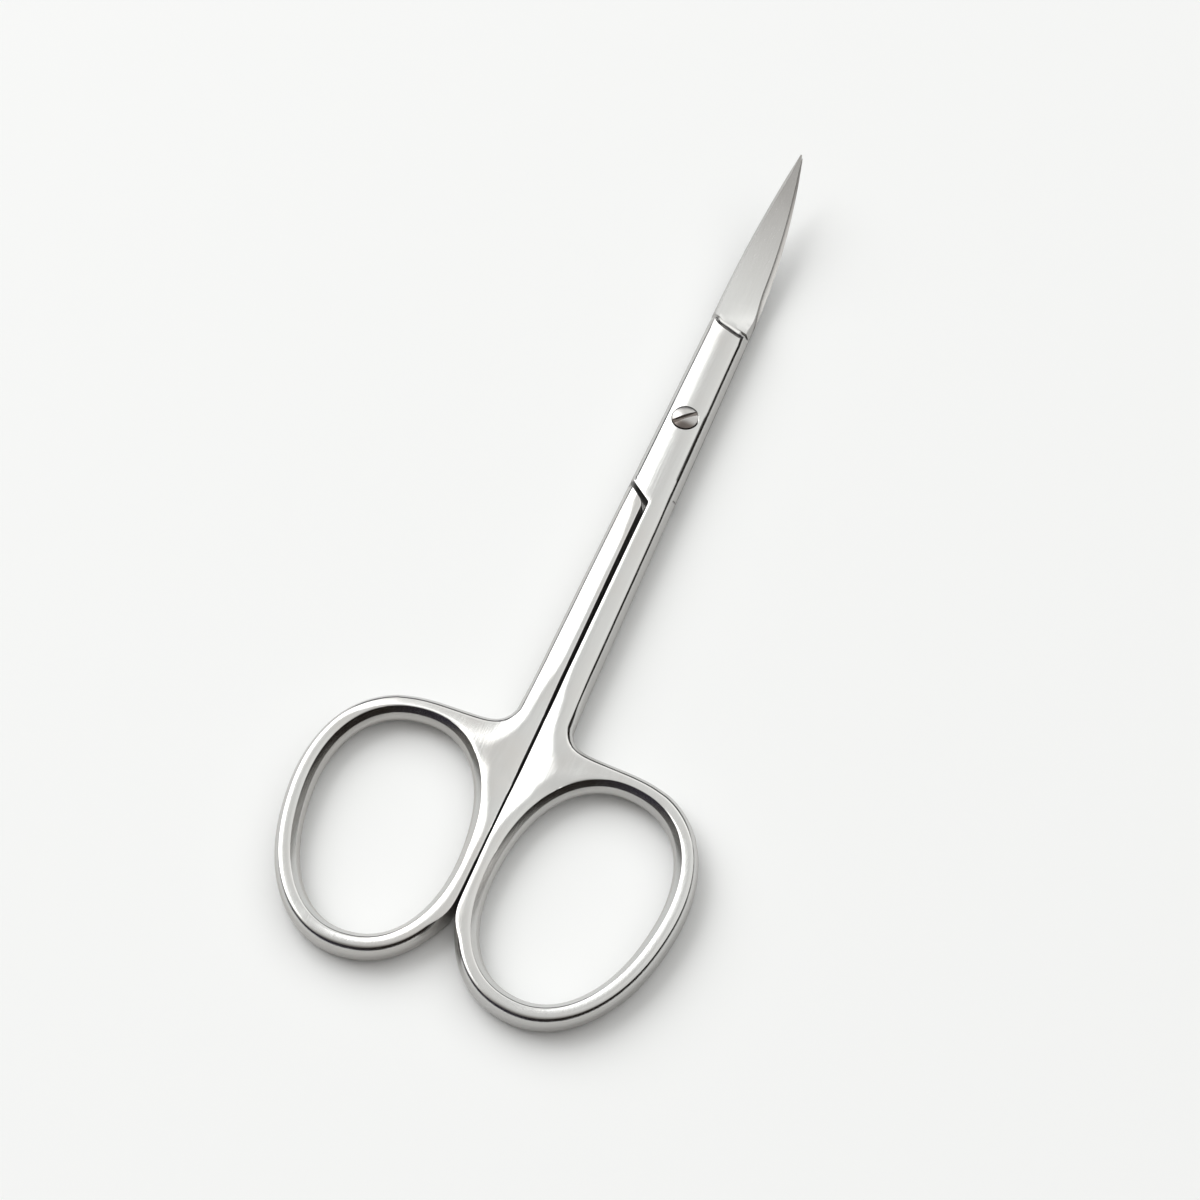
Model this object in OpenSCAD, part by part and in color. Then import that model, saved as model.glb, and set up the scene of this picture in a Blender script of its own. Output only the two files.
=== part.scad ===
// Cuticle scissors: two forged halves joined by a slotted pivot screw.
// The pivot axis is the Z axis, the tips point along +X, the closed scissors lie on z = 0.
// Both halves share one shape: the lower half is the upper half turned over about the X axis,
// and both blades are then bent upwards by the same arc.

/* [Overall] */
// Thickness of bows, shanks and closed joint
thick = 3.2; // [2.8:0.1:3.6]
// Distance from the pivot axis to the blade tips
tip_x = 34.2; // [32:0.2:38]
// Radius of the arc that lifts the blades
bend_radius = 56; // [45:1:90]
// Distance from the pivot axis to the start of the arc
bend_start = 11.5; // [10:0.5:13]

/* [Joint] */
// Width of the joint at the front end of the ride
ride_w = 4.8; // [4.4:0.1:5.4]
// Distance from the pivot axis to the grinding step in front of the screw
step_x = 12.6; // [11.6:0.1:13.4]
// Slant of the grinding step, length per unit of width
step_slant = 0.5; // [0:0.1:0.6]
// Running gap between the two ride faces
ride_gap = 0.04; // [0.02:0.01:0.08]
// Distance from the pivot axis to the shoulder, on the long axis
shoulder_x = 10.85; // [10:0.1:12]
// Slant of the shoulder, length per unit of width
shoulder_slant = 0.75; // [0.5:0.05:0.9]
// Gap between a shoulder and the end of the other shank
shoulder_gap = 0.5; // [0.4:0.05:0.8]

/* [Shanks] */
// Width of the two closed shanks together, at the bows
shank_w = 5.8; // [5.4:0.1:6.4]
// Gap between the closed shanks behind the shoulder
seam_front = 0.34; // [0.2:0.02:0.5]
// Gap between the closed bows where they come closest
seam_rear = 0.1; // [0.06:0.02:0.2]
// Distance from the pivot axis to the front of the bows
crotch_x = 39.6; // [39:0.1:40.2]
// Radius of the corner between shank and bow
crotch_r = 2.4; // [2:0.1:3]

/* [Bows] */
// Distance from the pivot axis to the middle of a finger hole
bow_x = 53.6; // [53:0.1:54.4]
// Distance from the long axis to the middle of a finger hole
bow_y = 9.95; // [9.6:0.05:10.6]
// Length of a finger hole at mid thickness
hole_len = 23; // [22:0.2:23.6]
// Width of a finger hole at mid thickness
hole_w = 15.8; // [15:0.2:16.4]
// Angle by which the front of a finger hole swings outwards
bow_turn = 8; // [5:0.5:11]
// Fullness of the finger hole, 2 is an ellipse
bow_full = 2.2; // [2:0.05:2.4]
// Extra width of the finger hole towards its front end
bow_egg = 0.05; // [0:0.01:0.08]
// Width of the bow limb
limb_w = 2.4; // [2.1:0.05:2.8]

/* [Section] */
// Inset of the top edge from the widest line of a bow wall
bow_edge = 0.55; // [0.35:0.05:0.7]
// Inset of the top edge from the widest line of a shank wall
shank_edge = 0.4; // [0.25:0.05:0.5]
// Height by which the crown of a shank falls off towards its outer edge
crown = 0.4; // [0.2:0.05:0.5]
// Height by which the crown of a shank falls off towards the seam
seam_crown = 0.2; // [0.1:0.05:0.3]
// Inset of the top edge along the seam
seam_inset = 0.14; // [0.06:0.02:0.2]

/* [Blades] */
// Blade thickness at the back, behind the step
back_t = 1.5; // [1.3:0.05:1.55]
// Blade thickness at the back, near the tip
back_tip_t = 0.6; // [0.45:0.05:0.8]
// Blade thickness at the cutting edge
edge_t = 0.14; // [0.1:0.02:0.2]
// Thickness left at the cutting edge side, right behind the step
step_edge_t = 0.95; // [0.7:0.05:1.2]
// Strip by which each back stands out past the other cutting edge
back_strip = 0.3; // [0.2:0.05:0.4]
// Width of the bevel along the blade back
back_bevel = 0.35; // [0.2:0.05:0.5]
// Gap between the blades along the cutting edges
blade_gap = 0.1; // [0.08:0.02:0.16]
// Extra depth of the hollow inside each blade
hollow = 0.12; // [0.05:0.01:0.2]

/* [Pivot screw] */
// Diameter of the screw head
head_d = 2.8; // [2.5:0.05:2.85]
// Diameter of the recess round the head
recess_d = 2.96; // [2.94:0.02:3.2]
// Depth of the recess
recess_depth = 0.95; // [0.8:0.05:1.05]
// Height of the head rim below the top of the ride
rim_drop = 0.22; // [0.15:0.01:0.35]
// Height of the dome above the head rim
dome_h = 0.42; // [0.3:0.02:0.5]
// Diameter of the screw shank
pin_d = 1.8; // [1.6:0.05:2]
// Radial play of the screw shank in the upper half
pin_play = 0.04; // [0.02:0.01:0.08]
// Radial play of the screw shank in the lower half
thread_play = 0.02; // [0.02:0.01:0.04]
// Width of the driver slot
slot_w = 0.42; // [0.3:0.02:0.5]
// Depth of the driver slot below the top of the dome
slot_depth = 0.55; // [0.4:0.05:0.6]
// Direction of the driver slot, from the long axis
slot_turn = -48; // [-90:1:90]

/* [Hidden] */
$fn = 96;
// mid plane of the closed scissors
mid_z = thick / 2;
// number of wall bands and of strips across a shank
bands = 6;
strips = 6;
// number of steps round a bow, and of those among them along its front and into the corner
bow_steps = 56;
web_steps = 6;
// half the arc that a side wall covers, its bands are equal parts of it
wall_arc = 72;
// directions in which a finger hole is seen from its middle, at both ends of the web
web_seam = 62;
web_crotch = 398;
// direction up to which the web fills the space to the seam
web_end = 98;
// direction at which the outside of the bow turns into the straight front
web_front = 366;
// distance from the pivot axis to the rear end of the web, on the seam
web_x = bow_x - 8.6;
// half widths of the joint
ride_half = ride_w / 2;
shank_half = shank_w / 2;
// distance from the pivot axis at which the shank is widest
shank_x = 30;
// extra half width where the shank meets the corner of the bow
root_flare = 0.15;
// length over which the grinding step runs out, and of its run out towards the edge
step_run = 0.7;
edge_run = 3.2;
// half width of the blunt tip and exponent of the blade taper
tip_half = 0.2;
tip_round = 0.12;
taper = 2.3;
// height of the head rim, and gap under the screw head
rim_z = thick - rim_drop;
seat_gap = 0.02;
// width of the flat ring round the dome
rim_ring = 0.06;
// amount by which cutters pass a face
over = 1;
// length over which one row turns into the next at the end of a shank
row_step = 0.02;

// blending helpers
function mix(a, b, f) = a + (b - a) * f;
function lower_of(a, b, k) = (a + b - sqrt((a - b) * (a - b) + k * k)) / 2;
function side_of(v) = [v[1], -v[0]] / norm(v);

// lift of the blades
function lift(x) =
    x < bend_start ? 0
    : bend_radius - sqrt(bend_radius * bend_radius - pow(x - bend_start, 2));

// half width of joint and blades along the long axis
function half_w(x) =
    x > step_x ? mix(tip_half, ride_half, 1 - pow((x - step_x) / (tip_x - step_x), taper))
    : x > -shank_x ? mix(shank_half, ride_half, (x + shank_x) / (step_x + shank_x))
    : shank_half + root_flare * pow((x + shank_x) / (crotch_x - crotch_r - shank_x), 2);

// half of the gap between the shanks
function seam_half(x) =
    x < -crotch_x ? seam_rear / 2
    : mix(seam_rear, seam_front, (x + crotch_x) / (crotch_x - shoulder_x)) / 2;

// a point on the edge of the finger hole, seen from its middle, and the direction away from it
function hole_at(a) =
    let (c = cos(a), s = sin(a))
    let (r = pow(pow(abs(c), bow_full) + pow(abs(s), bow_full), -1 / bow_full))
    let (u = hole_len / 2 * r * c, v = hole_w / 2 * r * s * (1 + bow_egg * c))
    [-bow_x + u * cos(bow_turn) + v * sin(bow_turn),
     -bow_y - u * sin(bow_turn) + v * cos(bow_turn)];
function hole_out(a) = side_of(hole_at(a + 0.5) - hole_at(a - 0.5));

// limb width: up to the seam along the web, smaller where the limb meets the seam
function limb_at(a) =
    let (p = hole_at(a), n = hole_out(a), room = (-seam_half(p[0]) - p[1]) / n[1])
    a < web_end ? room
    : n[1] < 0.3 ? limb_w
    : lower_of(limb_w, room, 0.25);

// corner between bow and shank, 0 on the bow front, 90 on the shank
crotch_mid = [-crotch_x + crotch_r, -half_w(-crotch_x + crotch_r) - crotch_r];
function corner_at(a) = crotch_mid + crotch_r * [-cos(a), sin(a)];

// outside of the bow, then the straight front, then half of the corner
function bow_at(a) =
    a <= web_front ? hole_at(a) + limb_at(a) * hole_out(a)
    : let (p = hole_at(web_front) + limb_at(web_front) * hole_out(web_front))
      let (way = (a - web_front) / (web_crotch - web_front))
      way < 0.5 ? mix(p, corner_at(0), 2 * way) : corner_at((way - 0.5) * 90);

bow_angles = concat(
    [for (i = [0:bow_steps - web_steps]) mix(web_seam, web_front, i / (bow_steps - web_steps))],
    [for (i = [1:web_steps]) mix(web_front, web_crotch, i / web_steps)]
);
web_angles = [for (i = [1:strips - 1]) mix(web_crotch, web_seam + 360, i / strips)];
bow_path = [for (a = bow_angles) bow_at(a)];

// pairs of points across the shank, the joint and the blade: outer edge, inner edge
shoulder_top = half_w(-shoulder_x + shoulder_slant * ride_half);
function shoulder_pt(f) =
    let (y = mix(-seam_half(-shoulder_x), shoulder_top, f))
    [-shoulder_x + shoulder_slant * y, y];
function across(x, lean) =
    [[x - lean * half_w(x), -half_w(x - lean * half_w(x))],
     [x + lean * half_w(x), half_w(x + lean * half_w(x))]];

root_pairs = [
    for (i = [0:3])
        let (xs = mix(-web_x, -crotch_x + crotch_r, pow(i / 3, 0.8)))
        [corner_at(45 + 15 * i), [xs, -seam_half(xs)]]
];
shank_pairs = [
    for (x = [-34, -30, -24, -18, -14])
        [[x, -half_w(x)], [x, -seam_half(x)]]
];
// the end of a shank under the ride, leaning the other way than the shoulder
end_x = shoulder_x + shoulder_gap * sqrt(1 + shoulder_slant * shoulder_slant);
end_pairs = [
    for (dx = [0, row_step])
        let (xe = -end_x + shoulder_slant * shank_half + dx)
        let (xs = -end_x + shoulder_slant * seam_half(-end_x) + dx)
        [[xe, -half_w(xe)], [xs, -seam_half(xs)]]
];
shoulder_pairs = [
    for (i = [0:5])
        let (xe = mix(end_pairs[1][0][0] + 0.1, -shoulder_x + 4.8, i / 5))
        let (f = [0, 0.12, 0.4, 0.7, 0.93, 1][i])
        let (dx = [-0.2, 0.02, 0, 0, 0.02, 0.3][i])
        [[xe, -half_w(xe)], shoulder_pt(f) + [dx, 0]]
];
ride_pairs = [
    for (x = [-4, 4, 9])
        [[x, -half_w(x)], [x, half_w(x)]]
];
function lean_at(x) = step_slant * max(0, 1 - (x - step_x) / (tip_x - step_x) * 1.6);
step_pairs = [
    for (i = [0:3])
        across(step_x + step_run * i / 3, step_slant)
];
blade_pairs = [
    for (i = [1:13])
        let (x = mix(step_x + step_run, tip_x, 1 - pow(1 - i / 13, 1.25)))
        across(x, lean_at(x) * (1 - i / 13))
];
pairs = concat(
    root_pairs, shank_pairs, end_pairs, shoulder_pairs, ride_pairs, step_pairs, blade_pairs
);
ride_first = len(root_pairs) + len(shank_pairs) + 1;
blade_first = len(pairs) - len(blade_pairs) - len(step_pairs);

// the two edges of the shank, joint and blade; the cutting edge stays inside the other back
function strip_at(x) =
    x < step_x ? 0
    : back_strip * min(1, (x - step_x) / 2) * min(1, half_w(x) / ride_half + 0.2);
outer_path = [for (p = pairs) p[0] + [0, strip_at(p[0][0])]];
inner_path = [for (p = pairs) p[1]];

// directions in which the side walls face
function path_out(path, i, before) =
    let (a = i == 0 ? before : path[i - 1])
    let (b = i == len(path) - 1 ? path[i] : path[i + 1])
    side_of(b - a);
outer_out = [for (i = [0:len(pairs) - 1]) path_out(outer_path, i, bow_path[bow_steps - 1])];
inner_out = [for (i = [0:len(pairs) - 1]) -path_out(inner_path, i, bow_path[1])];
bow_out = [
    for (i = [0:bow_steps])
        i == 0 ? inner_out[0]
        : i == bow_steps ? outer_out[0]
        : side_of(bow_path[i + 1] - bow_path[i - 1])
];

// inset and height of a wall band, 0 at the bottom, 1 at the top
function band_in(f) = (1 - cos(wall_arc * (2 * f - 1))) / (1 - cos(wall_arc));
function band_z(f) = (1 + sin(wall_arc * (2 * f - 1)) / sin(wall_arc)) / 2;

// share of a full rounding: 0 on the seam, 1 away from it; 0 on the bow, 1 along the shank
function off_seam(y) = min(1, max(0, (abs(y) - 0.2) / 1.2));
function off_bow(i) = min(1, max(0, (outer_path[i][0] + crotch_x - 1) / 6));

// inset of the top edge along the outside of the bow and along the strip
function bow_inset(i) = mix(seam_inset, bow_edge, off_seam(bow_path[i][1]));
function inner_inset(i) =
    i >= blade_first ? 0
    : mix(seam_inset, shank_edge, off_seam(max(0, inner_path[i][1])));
function outer_inset(i) =
    i >= blade_first ? 0
    : mix(bow_edge, shank_edge, off_bow(i));

// fall of the crown across the shank: flat in the middle third, lower at both edges
function crown_at(i, f) =
    let (inner = mix(seam_crown, crown, off_seam(max(0, inner_path[i][1]))))
    off_bow(i) * (crown * pow(max(0, 1 - 3 * f), 2) + inner * pow(max(0, 3 * f - 2), 2));

// thickness of the blade across its width, 0 at the cutting edge, 1 at the back
function blade_t(x, f) =
    let (g = max(0, min(1, (x - step_x) / (tip_x - step_x))))
    let (back = mix(back_t, back_tip_t, pow(g, 0.8)))
    let (edge = edge_t + (step_edge_t - edge_t) * exp(-max(0, x - step_x) / edge_run))
    let (w = 2 * half_w(x), bevel = min(back_bevel, w / 4) / w)
    let (flat_t = mix(edge, back, min(1, f / (1 - bevel))))
    f > 1 - bevel ? mix(back, back * 0.72, (f - 1 + bevel) / bevel) : flat_t;

// height of the upper face: the ride top, then the run out of the step, then the blade
function top_z(i, x, f) =
    i < blade_first ? thick - crown_at(i, f)
    : let (k = min(3, i - blade_first) / 3, run = 1 - sqrt(1 - pow(1 - k, 2)))
      mix(mid_z + blade_t(x, f), thick - crown_at(i, f), run);

// height of the lower face: shank, then ride face, then the hollow inside of the blade
function under_z(i, f) =
    i < ride_first ? crown_at(i, f)
    : i < blade_first + 3 ? mid_z + ride_gap / 2
    : mid_z + blade_gap / 2 + hollow * sin(180 * min(1, f * 0.8));

// rows of points: the inside of the hole all round, the outside of the bow, the long strip
hole_angles = concat(bow_angles, web_angles);
hole_rows = [
    for (a = hole_angles)
        let (p = hole_at(a), n = hole_out(a))
        [for (k = [0:bands])
            let (q = p + n * bow_edge * band_in(k / bands))
            [q[0], q[1], thick * band_z(k / bands)]]
];
bow_rows = [
    for (i = [0:bow_steps])
        [for (k = [0:bands])
            let (q = bow_path[i] - bow_out[i] * bow_inset(i) * band_in(k / bands))
            [q[0], q[1], thick * band_z(k / bands)]]
];

// one wall of the long strip, bottom to top; in the joint only its upper half is left
function wall(i, p, out, inset, f) =
    let (lo = under_z(i, f), hi = top_z(i, p[0], f), cut = i < ride_first ? 0 : 0.5)
    [for (k = [0:bands])
        let (g = mix(cut, 1, k / bands))
        let (q = p - out * inset * band_in(g), h = (band_z(g) - cut) / (1 - cut))
        [q[0], q[1], mix(lo, hi, h)]];
outer_rows = [
    for (i = [0:len(pairs) - 1])
        i == 0 ? bow_rows[bow_steps]
        : wall(i, outer_path[i], outer_out[i], outer_inset(i), 0)
];
inner_rows = [
    for (i = [0:len(pairs) - 1])
        i == 0 ? bow_rows[0]
        : wall(i, inner_path[i], inner_out[i], inner_inset(i), 1)
];

// inner points of the upper and lower faces of the long strip
function face_pt(i, j, up) =
    let (f = j / strips, k = up ? bands : 0)
    let (p = mix(outer_rows[i][k], inner_rows[i][k], f))
    [p[0], p[1], up ? top_z(i, p[0], f) : under_z(i, f)];

// all points in one list
n_hole = len(hole_angles);
n_bow = bow_steps + 1;
n_row = len(pairs);
at_bow = n_hole * (bands + 1);
at_out = at_bow + n_bow * (bands + 1);
at_in = at_out + (n_row - 1) * (bands + 1);
at_top = at_in + (n_row - 1) * (bands + 1);
at_low = at_top + n_row * (strips - 1);
half_points = concat(
    [for (r = hole_rows) for (p = r) p],
    [for (r = bow_rows) for (p = r) p],
    [for (i = [1:n_row - 1]) for (p = outer_rows[i]) p],
    [for (i = [1:n_row - 1]) for (p = inner_rows[i]) p],
    [for (i = [0:n_row - 1]) for (j = [1:strips - 1]) face_pt(i, j, true)],
    [for (i = [0:n_row - 1]) for (j = [1:strips - 1]) face_pt(i, j, false)],
    [mix(face_pt(n_row - 1, 3, true), face_pt(n_row - 1, 3, false), 0.5) + [tip_round, 0, 0]]
);

// numbers of the points in that list
function id_hole(i, k) = (i % n_hole) * (bands + 1) + k;
function id_bow(i, k) = at_bow + i * (bands + 1) + k;
function id_out(i, k) = i == 0 ? id_bow(bow_steps, k) : at_out + (i - 1) * (bands + 1) + k;
function id_in(i, k) = i == 0 ? id_bow(0, k) : at_in + (i - 1) * (bands + 1) + k;
function id_face(i, j, up) =
    j == 0 ? id_out(i, up ? bands : 0)
    : j == strips ? id_in(i, up ? bands : 0)
    : (up ? at_top : at_low) + i * (strips - 1) + j - 1;
// the point that faces the hole across the bow or across the web
function id_rim(i, up) =
    i <= bow_steps ? id_bow(i, up ? bands : 0)
    : i == n_hole ? id_bow(0, up ? bands : 0)
    : id_face(0, i - bow_steps, up);

// the last row as a loop: lower face, back, upper face, cutting edge
tip_loop = concat(
    [for (j = [0:strips]) id_face(n_row - 1, j, false)],
    [for (k = [1:bands - 1]) id_in(n_row - 1, k)],
    [for (j = [strips:-1:0]) id_face(n_row - 1, j, true)],
    [for (k = [bands - 1:-1:1]) id_out(n_row - 1, k)]
);
// a four sided patch as two triangles
function patch(a, b, c, d) = [[a, b, c], [a, c, d]];
half_faces = concat(
    [for (i = [0:n_hole - 1]) for (k = [0:bands - 1])
        each patch(id_hole(i, k), id_hole(i + 1, k), id_hole(i + 1, k + 1), id_hole(i, k + 1))],
    [for (i = [0:bow_steps - 1]) for (k = [0:bands - 1])
        each patch(id_bow(i, k), id_bow(i, k + 1), id_bow(i + 1, k + 1), id_bow(i + 1, k))],
    [for (i = [0:n_hole - 1])
        each patch(id_hole(i, bands), id_hole(i + 1, bands), id_rim(i + 1, true), id_rim(i, true))],
    [for (i = [0:n_hole - 1])
        each patch(id_hole(i, 0), id_rim(i, false), id_rim(i + 1, false), id_hole(i + 1, 0))],
    [for (i = [0:n_row - 2]) for (k = [0:bands - 1])
        each patch(id_out(i, k), id_out(i, k + 1), id_out(i + 1, k + 1), id_out(i + 1, k))],
    [for (i = [0:n_row - 2]) for (k = [0:bands - 1])
        each patch(id_in(i, k), id_in(i + 1, k), id_in(i + 1, k + 1), id_in(i, k + 1))],
    [for (i = [0:n_row - 2]) for (j = [0:strips - 1])
        each patch(id_face(i, j, true), id_face(i, j + 1, true),
                   id_face(i + 1, j + 1, true), id_face(i + 1, j, true))],
    [for (i = [0:n_row - 2]) for (j = [0:strips - 1])
        each patch(id_face(i, j, false), id_face(i + 1, j, false),
                   id_face(i + 1, j + 1, false), id_face(i, j + 1, false))],
    [for (i = [0:len(tip_loop) - 1])
        [len(half_points) - 1, tip_loop[(i + 1) % len(tip_loop)], tip_loop[i]]]
);

// one half before it is drilled; side 1 is the upper half, -1 the lower
module blank(side) {
    turned = [
        for (p = half_points)
            [p[0], side * p[1], mid_z + side * (p[2] - mid_z) + lift(p[0])]
    ];
    polyhedron(points = turned, faces = half_faces, convexity = 6);
}

module upper_half() {
    color([0.80, 0.80, 0.79])
    difference() {
        blank(1);
        translate([0, 0, thick - recess_depth])
        cylinder(d = recess_d, h = recess_depth + over);
        translate([0, 0, -over])
        cylinder(d = pin_d + 2 * pin_play, h = thick + 2 * over);
    }
}

module lower_half() {
    color([0.78, 0.78, 0.77])
    difference() {
        blank(-1);
        translate([0, 0, -over])
        cylinder(d = pin_d + 2 * thread_play, h = thick + 2 * over);
    }
}

// half of the screw's outline: shank, head and dome
module screw_outline() {
    seat_z = thick - recess_depth + seat_gap;
    dome_half = head_d / 2 - rim_ring;
    dome_r = (pow(dome_half, 2) + pow(dome_h, 2)) / (2 * dome_h);
    square([pin_d / 2, rim_z]);
    translate([0, seat_z])
    square([head_d / 2, rim_z - seat_z]);
    intersection() {
        translate([0, rim_z + dome_h - dome_r])
        circle(r = dome_r);
        translate([0, rim_z])
        square([head_d / 2, dome_h + over]);
    }
}

module pivot_screw() {
    color([0.62, 0.61, 0.60])
    difference() {
        rotate_extrude()
        screw_outline();
        rotate([0, 0, slot_turn])
        translate([-head_d, -slot_w / 2, rim_z + dome_h - slot_depth])
        cube([2 * head_d, slot_w, slot_depth + over]);
    }
}

upper_half();
lower_half();
pivot_screw();
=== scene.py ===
import math

import bmesh
import bpy
import numpy as np
from mathutils import Matrix, Vector


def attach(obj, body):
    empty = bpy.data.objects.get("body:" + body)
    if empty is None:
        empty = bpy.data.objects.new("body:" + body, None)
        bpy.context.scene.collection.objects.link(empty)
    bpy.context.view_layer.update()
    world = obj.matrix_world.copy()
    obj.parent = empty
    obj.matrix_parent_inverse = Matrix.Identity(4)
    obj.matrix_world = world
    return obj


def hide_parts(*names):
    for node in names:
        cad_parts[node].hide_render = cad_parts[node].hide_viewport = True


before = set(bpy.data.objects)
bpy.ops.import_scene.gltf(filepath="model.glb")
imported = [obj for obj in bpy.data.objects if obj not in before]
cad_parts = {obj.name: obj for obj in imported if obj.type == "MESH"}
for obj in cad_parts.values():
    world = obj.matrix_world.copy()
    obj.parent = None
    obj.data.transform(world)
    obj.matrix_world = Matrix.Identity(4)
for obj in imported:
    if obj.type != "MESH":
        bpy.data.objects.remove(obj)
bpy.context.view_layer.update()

# Lengths are in millimetres and angles in degrees, until a mesh becomes an object in metres. The
# closed scissors lie on z = 0, with the tips towards +X and the pivot along Z. Both halves are
# built like the upper one, whose bow lies towards -Y, and the lower one is then turned over about X.
MM = 0.001
THICK = 3.2
MID = THICK / 2

# joint, shank and seam
RIDE_HALF, SHANK_HALF = 2.4, 2.9
SHANK_X, ROOT_FLARE = 30.0, 0.15
SEAM_FRONT, SEAM_REAR = 0.34, 0.1
RIDE_GAP = 0.04
SHOULDER_X, SHOULDER_SLANT, SHOULDER_GAP = 10.85, 0.75, 0.5
HEAD_X, RIDE_FROM = -9.1, -5.0
SHANK_FROM, SHANK_TO = -36.2, -14.5
END_FROM, END_OUTER_FROM, SHELF = -13.6, -13.0, 0.01
END_FILLET, FOOT_FILLET, HEAD_FILLET = 0.8, 0.25, 0.7

# finger bow, its web to the shank, and the crotch between them
BOW_X, BOW_Y, BOW_TURN = 53.6, 9.95, 8.0
HOLE_LEN, HOLE_W, BOW_FULL, BOW_EGG = 23.0, 15.8, 2.2, 0.05
LIMB_W, LIMB_BLEND = 2.4, 0.25
CROTCH_X, CROTCH_R = 39.6, 2.4
WEB_SEAM, WEB_END, WEB_FRONT, WEB_CROTCH = 62.0, 98.0, 366.0, 398.0
WEB_X = BOW_X - 8.6

# blade, and the step between ride and blade that a wheel ground
TIP_X, TIP_HALF, TIP_ROUND = 34.2, 0.2, 0.12
TAPER_X, TAPER = 12.6, 2.3
BEND_START, BEND_RADIUS = 11.5, 56.0
STEP_X, STEP_SLANT, WHEEL_R, LEAST_STEP = 13.2, 0.28, 2.0, 0.015
BACK_T, BACK_TIP_T, FACE_SLOPE = 1.36, 0.6, 0.24
EDGE_T, STEP_EDGE_T, EDGE_RUN = 0.14, 1.1, 3.0
BACK_STRIP, STRIP_RUN = 0.6, 6.0
BACK_BEVEL, TIP_BEVEL, BEVEL_RUN, BEVEL_SLOPE = 0.24, 0.5, 14.0, 1.2
BLADE_GAP, HOLLOW = 0.1, 0.12

# pivot screw
HEAD_D, RECESS_D, RECESS_DEPTH, RIM_RISE, DOME_H = 2.72, 2.96, 0.95, 0.1, 0.2
RIM_W, RIM_H = 0.06, 0.05
PIN_D, PIN_PLAY, THREAD_PLAY, SEAT_PLAY = 1.8, 0.04, 0.02, 0.02
PIN_BREAK, SEAT_BREAK = 0.08, 0.04
SLOT_W, SLOT_DEPTH, SLOT_TURN = 0.48, 0.28, -47.0

# how finely a half is modelled
LIMB_STEPS, FRONT_STEPS = 120, 14
ROOT_ROWS, SHANK_ROWS, STEP_ROWS, BLADE_ROWS = 10, 20, 12, 44
RIDE_ROWS = -3.5, -2.0, -0.7, 0.7, 2.0, 3.5, 5.0, 6.5, 7.8
LEANING_ROWS = (9.2, 0.25), (10.3, 0.5), (11.1, 0.75)
WALL, TOP, STRIPS = 16, 14, 22
HALF_WALL = WALL // 2
BEVEL_AT = 18
MERGE, SLIVER = 2e-4, 1e-4
ROUND_SIDES, DOME_RINGS = 96, 12
HALF_SHARP, SCREW_SHARP = 18, 30

# Rounding of a face along its borders: drop and reach of the broad crown, then of the narrow edge.
SHANK_EDGE = 0.2, 2.3, 0.22, 0.4
RIDE_EDGE = 0.2, 2.0, 0.27, 0.48
BOW_EDGE = 0.03, 0.65, 0.06, 0.25
CORNER_EDGE = 0.27, 3.7, 0.1, 0.3
HOLE_EDGE = 0.07, 0.9, 0.05, 0.22
WEB_HOLE_CROWN = 0.13, 2.1
SEAM_EDGE = 0.03, 0.75, 0.04, 0.12
BOW_SEAM_EDGE = 0.04, 0.9, 0.03, 0.12
WEB_SEAM_EDGE = 0.28, 4.0, 0.03, 0.12
LOW_JOINT_REACH = 1.2

# where one rounding passes into the next: start and length along X
TO_SHANK = 1 - CROTCH_X, 6.0
TO_CORNER = -6 - CROTCH_X, 6.0
TO_WEB = -12 - CROTCH_X, 8.0
TO_HOLE_WEB = -54.0, 6.0
TO_JOINT = -13.0, 4.0
TO_LOW_JOINT = -18.0, 6.0
# the same across: away from the seam, outwards to the left side of the ride, and to the middle
OFF_SEAM = 0.2, 1.2
TO_RIDE_SIDE = -0.4, 0.35
TO_MIDDLE = -5.5, 2.0

# how far the top edge of a wall lies inside its widest line, and how late the wall bends over
SEAM_INSET, SIDE_INSET, BOW_INSET, BOW_SEAM_INSET = 0.12, 0.4, 0.5, 0.07
BOW_BEND, SHANK_BEND, SEAM_BEND = 3.2, 1.7, 2.2
# the wall of the finger hole from mid height up: height and inset, with a flat cut under the top
HOLE_WALL = (
    (0, 0), (0.15, 0.01), (0.3, 0.04), (0.45, 0.085), (0.6, 0.15), (0.9, 0.297), (0.92, 0.31),
    (1.5, 0.765), (1.52, 0.78),
)


def mix(a, b, f):
    return a + (b - a) * f


def mix_all(a, b, f):
    return tuple(mix(p, q, f) for p, q in zip(a, b))


def clamp(f):
    return min(1.0, max(0.0, f))


def ease(f):
    f = clamp(f)
    return f * f * (3 - 2 * f)


def spread(t):
    """Spacing across a face that is closer near both of its edges."""
    return (1 - math.cos(math.pi * t)) / 2


def passed(x, passage):
    start, run = passage
    return ease((x - start) / run)


# Plan of one half
def half_w(x):
    """Half width of the closed joint, shanks or blades at x."""
    if x > TAPER_X:
        way = min(1, (x - TAPER_X) / (TIP_X - TAPER_X))
        return mix(TIP_HALF, RIDE_HALF, 1 - way ** TAPER)
    if x > -SHANK_X:
        return mix(SHANK_HALF, RIDE_HALF, (x + SHANK_X) / (TAPER_X + SHANK_X))
    return SHANK_HALF + ROOT_FLARE * ((x + SHANK_X) / (CROTCH_X - CROTCH_R - SHANK_X)) ** 2


def seam_half(x):
    """Half the gap between the two closed halves."""
    if x < -CROTCH_X:
        return SEAM_REAR / 2
    return mix(SEAM_REAR, SEAM_FRONT, (x + CROTCH_X) / (CROTCH_X - SHOULDER_X)) / 2


def off_seam(y):
    """0 beside the seam, 1 a little away from it."""
    return passed(abs(y), OFF_SEAM)


def side_of(v):
    return Vector((v.y, -v.x)).normalized()


def path_out(path, i):
    a, b = path[max(0, i - 1)], path[min(len(path) - 1, i + 1)]
    return side_of(b - a)


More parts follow.
